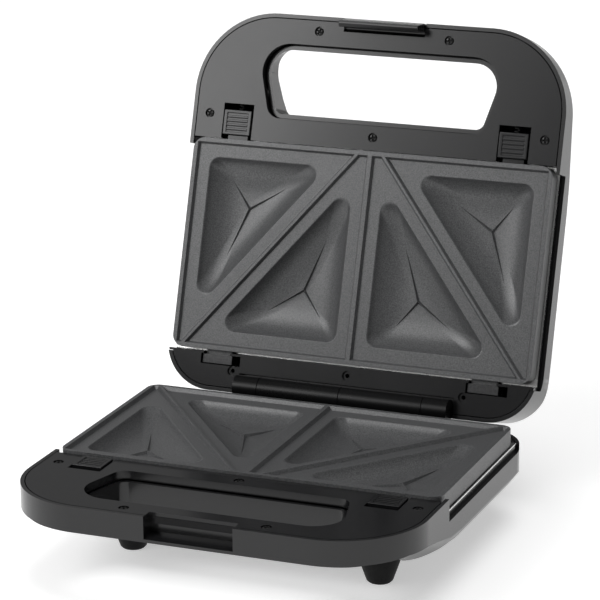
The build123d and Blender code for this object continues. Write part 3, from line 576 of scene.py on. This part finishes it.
# hinge barrels: the reach around the hinge axis and to each side that gets the painted shade
hinge_reach, hinge_half = 8.0, 85.0


def shape_housing(piece, placed):
    """Lifts a housing's lower corners, opens its handle tube and paints shade on its hinge
    barrels.
    """
    there = to_plate @ placed.inverted()
    back = there.inverted()
    for vertex in piece.data.vertices:
        spot = there @ vertex.co
        wide = abs(spot.x)
        deep = wall_depth(spot.y)
        lift = corner_lift * soft_step(wide, lift_inner, lift_outer)
        lift *= front_share + (1 - front_share) * soft_step(spot.y, lift_front, lift_rear)
        lift *= soft_step(-spot.z, lift_top * deep, lift_bottom * deep)
        half = tube_half - tube_slope * (spot.y - tube_half_at)
        if spot.z < tube_top and tube_front < spot.y < tube_rear and wide < half:
            spot.y -= tube_forward * soft_step(tube_middle - spot.y, 0, tube_blend)
            outward = tube_outward if spot.x > 0 else -tube_outward
            spot.x += outward * soft_step(wide, tube_straight, tube_end)
        spot.z += lift
        vertex.co = back @ spot
    axis = there @ hinge
    # the hinge barrels take the darker, duller copy of the housing finish as painted shade
    piece.data.materials.append(hinge_shade_black)
    for polygon in piece.data.polygons:
        spot = there @ polygon.center
        if (spot.yz - axis.yz).length < hinge_reach and abs(spot.x) < hinge_half:
            polygon.material_index = 1


# strips beside the plate: where they start, the places of their inner and outer faces and
# of their top on the solid, and the new places
strip_start, strip_bottom = 3.0, -9.7
strip_inner, strip_outer, strip_top = 114.1, 115.3, -9.8
new_inner, new_outer, ledge_top = 113.35, 113.6, -11.0
corner_share = 0.1
near = 0.1


def shape_fascia(piece, placed):
    """Takes the upright strips beside the plate down to their ledge, and draws that in."""
    there = to_plate @ placed.inverted()
    back = there.inverted()
    for vertex in piece.data.vertices:
        spot = there @ vertex.co
        wide = abs(spot.x)
        if wide > strip_inner - near and spot.z < strip_bottom and spot.y > strip_start:
            if wide < strip_inner + near:
                wide = new_inner
            else:
                wide = new_outer - corner_share * (strip_outer - wide)
            spot.x = wide if spot.x > 0 else -wide
            if abs(spot.z - strip_top) < near / 2:
                spot.z = ledge_top
            vertex.co = back @ spot
    weld(piece)


# %% Skins of the housings, fascias and small parts
# solid, name of its skin, edge radius in millimetres and, where it has one, its shape
skins = (
    ("base_shell", "base_housing", 0.5, shape_housing),
    ("lid_shell", "lid_housing", 0.5, shape_housing),
    ("base_bezel", "base_fascia", 0.35, shape_fascia),
    ("lid_bezel", "lid_fascia", 0.35, shape_fascia),
    ("latch_lever", "latch", 0.4),
    ("lower_left_release", "lower_left_catch", 0.2),
    ("lower_right_release", "lower_right_catch", 0.2),
    ("upper_left_release", "upper_left_catch", 0.2),
    ("upper_right_release", "upper_right_catch", 0.2),
    ("base_plate_clips", "lower_clips", 0.25),
    ("lid_plate_clips", "upper_clips", 0.25),
    ("feet", "rubber_feet", 0.4),
)
for row in skins:
    skin(*row)

# %% [markdown]
# ## Cooking plates
# A real plate is cast. Its four pockets are dished: from a softly rounded mouth the wall
# drops steeply, then runs out into the floor, so that the sandwich comes out easily. The
# solid has plain sloping walls. Here a copy of it has its pockets taken out, and each one
# is drawn down again from its mouth, ring by ring. A ring that is scaled about the middle
# of the triangle's inscribed circle moves in by the same distance on all three sides.

# %% Take the pockets out
field_drop = 1.5 * MM
pockets_front = front_edge + 3.5 * MM
pockets_rear = front_edge + 124.2 * MM


def in_pocket(face):
    """Whether a face of the plate is a wall or the floor of a pocket."""
    deep = face.center.z < rim_level - field_drop - 0.1 * MM
    return face.normal.z > 0.05 and deep and pockets_front < face.center.y < pockets_rear


plate = take("lower_plate", "lower_grill_plate")
select_faces(plate, in_pocket)
bpy.ops.mesh.delete(type="FACE")
bpy.ops.object.mode_set(mode="OBJECT")
print("plate without pockets:", len(plate.data.polygons), "faces")

# %% [markdown]
# The fields between the rims lie a little deeper on the real plate than on the solid, so
# the thin rims stand out with dark lines beside them. All corners of the fields' floors
# are moved down together, with the mouths of the pockets among them.

# %% Lower the fields
field_extra = 0.8 * MM
field_level = rim_level - field_drop
select_points(plate, lambda point: abs(point.co.z - field_level) < 0.01 * MM)
bpy.ops.transform.translate(value=(0, 0, -field_extra))
bpy.ops.object.mode_set(mode="OBJECT")
field_level -= field_extra

# %% Pockets, ring by ring
# each pocket: the middle of its inscribed circle, and that circle's radius, in millimetres
outer_pocket = (77.25, 35.45, 24.75)
inner_pocket = (34.66, 89.24, 25.56)
diagonal = ((11.5, 6.5), (102.5, 119.5))
# the dish: how far in from the mouth, and how deep below the field, in millimetres
dish = (
    (0.0, 0.0),
    (0.25, 0.07),
    (0.55, 0.3),
    (0.85, 0.75),
    (1.2, 1.4),
    (1.8, 2.3),
    (2.8, 3.45),
    (4.2, 4.7),
    (6.0, 5.9),
    (8.2, 6.95),
    (11.0, 7.85),
    (14.5, 8.5),
    (19.0, 8.9),
    (23.5, 9.0),
)


def beyond_diagonal(x, y):
    """Whether a point of the plate, in millimetres, lies on the outer side of a diagonal."""
    (x0, y0), (x1, y1) = diagonal
    return (abs(x) - x0) * (y1 - y0) - (y - y0) * (x1 - x0) > 0


def around(side, pocket, point):
    """Whether a point lies on a pocket's side of the middle and of the diagonal."""
    x, y = point.co.x / MM, (point.co.y - front_edge) / MM
    return x * side > 0 and beyond_diagonal(x, y) == (pocket is outer_pocket)


for side in (1, -1):
    for pocket in (outer_pocket, inner_pocket):
        middle = Vector((side * pocket[0] * MM, front_edge + pocket[1] * MM, field_level))
        bpy.ops.object.mode_set(mode="EDIT")
        bpy.ops.mesh.select_mode(type="VERT")
        bpy.ops.mesh.select_all(action="DESELECT")
        bpy.ops.mesh.select_non_manifold()
        bpy.ops.object.mode_set(mode="OBJECT")
        mouths = {vertex.index for vertex in plate.data.vertices if vertex.select}
        select_points(plate, lambda p: p.index in mouths and around(side, pocket, p))
        radius = pocket[2]
        for (was_in, was_deep), (now_in, now_deep) in zip(dish, dish[1:]):
            bpy.ops.mesh.extrude_edges_move(
                TRANSFORM_OT_translate={"value": (0, 0, (was_deep - now_deep) * MM)}
            )
            share = (radius - now_in) / (radius - was_in)
            bpy.ops.transform.resize(value=(share, share, 1), center_override=middle)
        bpy.ops.mesh.merge(type="CENTER")
        bpy.ops.object.mode_set(mode="OBJECT")
print("plate with dished pockets:", len(plate.data.polygons), "faces")

# %% [markdown]
# ## Creases
# On the floor of each pocket stands a sharp ridge with three arms, which folds the bread.
# It runs out to nothing on the slopes. An arm starts as a narrow grid of three rows: its
# middle row is the crest, and the outer rows go into the dish, so it needs no cutting.

# %% Heights of the dish
# the corners of each pocket's mouth, in millimetres
corners_of = {
    outer_pocket: ((25.54, 10.7), (102.0, 10.7), (102.0, 105.65)),
    inner_pocket: ((9.1, 16.75), (88.06, 114.8), (9.1, 114.8)),
}


def dish_level(pocket, x, y):
    """The level of a pocket's dish at a point of the plate, in millimetres below the field."""
    corners = corners_of[pocket]
    inside = []
    for (x0, y0), (x1, y1) in zip(corners, corners[1:] + corners[:1]):
        length = hypot(x1 - x0, y1 - y0)
        inside.append(abs((x - x0) * (y1 - y0) - (y - y0) * (x1 - x0)) / length)
    distance = min(inside)
    for (was_in, was_deep), (now_in, now_deep) in zip(dish, dish[1:]):
        if distance <= now_in:
            return was_deep + (now_deep - was_deep) * (distance - was_in) / (now_in - was_in)
    return dish[-1][1]


# %% Arms of the creases
# in millimetres: height and half width in the middle, and how far the feet go in
crease_high, crease_half, crease_foot = 1.9, 1.0, 0.3
crease_fall = 0.7
stations = 9
# each pocket's creases: the place of their middle, and of their three tips
creases_of = {
    outer_pocket: ((76.5, 40.0), ((89.0, 23.5), (88.5, 72.0), (52.5, 25.0))),
    inner_pocket: ((36.0, 85.0), ((24.5, 53.0), (59.0, 100.5), (23.0, 102.0))),
}
arms = []
for side in (1, -1):
    for pocket, (middle, tips) in creases_of.items():
        for tip in tips:
            bpy.ops.object.select_all(action="DESELECT")
            bpy.ops.mesh.primitive_grid_add(x_subdivisions=stations, y_subdivisions=2, size=2)
            arm = bpy.context.object
            along = Vector(tip) - Vector(middle)
            across = Vector((-along.y, along.x)).normalized()
            for vertex in arm.data.vertices:
                t = (vertex.co.x + 1) / 2
                spot = Vector(middle) + along * t + across * vertex.co.y * crease_half * (1 - t)
                level = -dish_level(pocket, spot.x, spot.y)
                if abs(vertex.co.y) < 0.1:
                    level += crease_high * (1 - t) ** crease_fall
                else:
                    level -= crease_foot
                vertex.co = (
                    side * spot.x * MM,
                    front_edge + spot.y * MM,
                    field_level + level * MM,
                )
            arms.append(arm)
print(len(arms), "crease arms")

# %% Join the creases to the plate
creases = arms[0]
join(arms[1:], creases)
pick(creases)
bpy.ops.object.mode_set(mode="EDIT")
bpy.ops.mesh.select_all(action="SELECT")
bpy.ops.mesh.normals_make_consistent(inside=False)
bpy.ops.object.mode_set(mode="OBJECT")
for polygon in creases.data.polygons:
    if polygon.normal.z < 0:
        polygon.flip()
join([creases], plate)
plate.data.materials.clear()
plate.data.materials.append(plate_coat)
print("plate with creases:", len(plate.data.polygons), "faces")

# %% [markdown]
# The lid's plate is the same casting. It is turned over above the lower one, and then
# swung open about the hinge, as the lid is.

# %% Swing a copy to the lid
def swung(piece, name):
    """A copy of a piece of the base, in its place on the lid."""
    other = bpy.data.objects.new(name, piece.data.copy())
    bpy.context.scene.collection.objects.link(other)
    other.data.transform(to_lid)
    other.data.flip_normals()
    return other


plate_radius, plate_sharp = 0.4 * MM, 28
upper_plate = swung(plate, "upper_grill_plate")
round_off(plate, plate_radius, plate_sharp)
round_off(upper_plate, plate_radius, plate_sharp)
stand_for(plate, "lower_plate")
stand_for(upper_plate, "upper_plate")

# %% [markdown]
# ## Screws
# The fascias are held by cross-headed screws, in round recesses. One head is modelled: a
# short drum with a rounded top, and two tapered bars cut a cross into it. Its copies go
# where the solids' screws are.


# %% One screw head
head_radius = 2.25 * MM
head_height = 1.3 * MM
head_rounding = 0.7 * MM
slot_length, slot_width, slot_depth = 4.0 * MM, 1.3 * MM, 1.0 * MM
slot_narrowing = (0.45, 0.6)
above = 0.2 * MM


def tapered_bar(turned):
    """A bar that narrows downwards, to cut one slot of the cross."""
    bpy.ops.object.select_all(action="DESELECT")
    bpy.ops.mesh.primitive_cube_add(size=1)
    bar = bpy.context.object
    bar.scale = (slot_length, slot_width, slot_depth + above)
    bar.location.z = (above - slot_depth) / 2
    bpy.ops.object.transform_apply(location=True, scale=True)
    for vertex in bar.data.vertices:
        if vertex.co.z < 0:
            vertex.co.x *= slot_narrowing[0]
            vertex.co.y *= slot_narrowing[1]
        if turned:
            vertex.co.x, vertex.co.y = -vertex.co.y, vertex.co.x
    return bar


bpy.ops.object.select_all(action="DESELECT")
bpy.ops.mesh.primitive_cylinder_add(
    vertices=32, radius=head_radius, depth=head_height, location=(0, 0, -head_height / 2)
)
screw_head = bpy.context.object
bpy.ops.object.transform_apply(location=True)
select_faces(screw_head, lambda face: face.normal.z > 0.9)
bpy.ops.mesh.bevel(offset=head_rounding, segments=4, affect="EDGES")
bpy.ops.object.mode_set(mode="OBJECT")
for turned in (False, True):
    bar = tapered_bar(turned)
    pick(screw_head)
    cut = screw_head.modifiers.new("cross", "BOOLEAN")
    cut.operation = "DIFFERENCE"
    cut.object = bar
    bpy.ops.object.modifier_apply(modifier=cut.name)
    bpy.data.objects.remove(bar)
screw_head.data.materials.append(black_screw)
screw_head.data.materials.append(cross_shade_black)
# the faces of the cross are the only ones between the head's top and its underside; they get a
# near-black finish as painted shade in the recess
for polygon in screw_head.data.polygons:
    place = polygon.center
    if place.xy.length < 1.7 * MM and -1.2 * MM < place.z < -0.1 * MM:
        polygon.material_index = 1
print("screw head", len(screw_head.data.polygons), "faces")


# %% Copies of the head at each screw
def screw_spots(node):
    """The middle of the top of each loose part of a node's mesh."""
    piece = take(node, "spots")
    bpy.ops.object.mode_set(mode="EDIT")
    bpy.ops.mesh.select_all(action="SELECT")
    bpy.ops.mesh.separate(type="LOOSE")
    bpy.ops.object.mode_set(mode="OBJECT")
    parts = list(bpy.context.selected_objects)
    spots = []
    for part in parts:
        points = [vertex.co for vertex in part.data.vertices]
        x = (min(p.x for p in points) + max(p.x for p in points)) / 2
        y = (min(p.y for p in points) + max(p.y for p in points)) / 2
        spots.append((x, y, max(p.z for p in points)))
    for part in parts:
        bpy.data.objects.remove(part)
    return sorted(spots)


spots = screw_spots("base_bezel_screws")
print(len(spots), "screws", [[round(v / MM, 1) for v in spot] for spot in spots])
heads = []
for number, spot in enumerate(spots):
    copy = bpy.data.objects.new("head", screw_head.data.copy())
    bpy.context.scene.collection.objects.link(copy)
    turn_of_cross = Matrix.Rotation(radians(25 + 47 * number), 4, "Z")
    copy.data.transform(Matrix.Translation(spot) @ turn_of_cross)
    heads.append(copy)
bpy.data.objects.remove(screw_head)
base_screws = heads[0]
join(heads[1:], base_screws)
base_screws.name = "base_fascia_screws"
lid_screws = swung(base_screws, "lid_fascia_screws")
for piece, node in ((base_screws, "base_bezel_screws"), (lid_screws, "lid_bezel_screws")):
    round_off(piece, 0.0, sharp=35)
    stand_for(piece, node)

# %% [markdown]
# ## Last update

# %% Update the view layer
bpy.context.view_layer.update()
